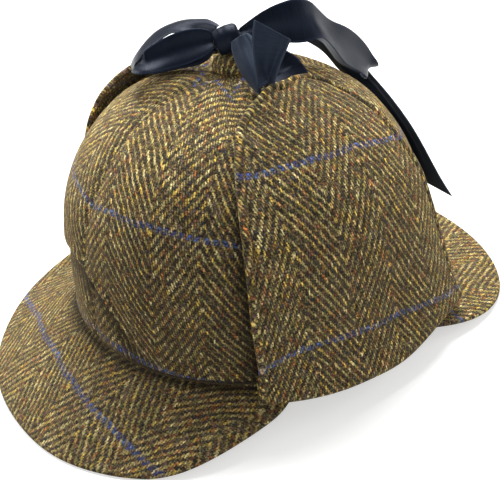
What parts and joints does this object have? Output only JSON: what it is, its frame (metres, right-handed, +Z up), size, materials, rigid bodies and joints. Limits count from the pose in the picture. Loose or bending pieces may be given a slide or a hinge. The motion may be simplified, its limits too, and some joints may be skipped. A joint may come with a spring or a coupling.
{
  "type": "deerstalker hat",
  "caption": "Soft tweed hat with a rounded sewn crown, a peak in front and behind, and ear flaps turned up and tied over the top with a ribbon bow.",
  "frame": {"origin": "on the surface that the hat rests on, under the middle of its overall length and width", "axes": "front peak towards -Y, wearer's left towards +X, +Z up through the crown to the bow"},
  "size_m": [0.2242, 0.2999, 0.1955],
  "materials": {
    "tweed": "matte woven wool, herringbone with a thin overcheck",
    "ribbon": "satin, with fine cross ribs"
  },
  "bodies": {
    "root": {"crown_panel_1": "tweed", "crown_panel_2": "tweed", "crown_panel_3": "tweed", "crown_panel_4": "tweed", "crown_panel_5": "tweed", "crown_panel_6": "tweed", "crown_button": "tweed", "front_peak": "tweed", "rear_peak": "tweed", "left_ear_flap": "tweed", "right_ear_flap": "tweed", "bow_knot": "ribbon", "bow_loop_left": "ribbon", "bow_loop_right": "ribbon", "bow_long_tail": "ribbon", "bow_short_tail": "ribbon", "left_tie": "ribbon", "right_tie": "ribbon"}
  },
  "joints": []
}
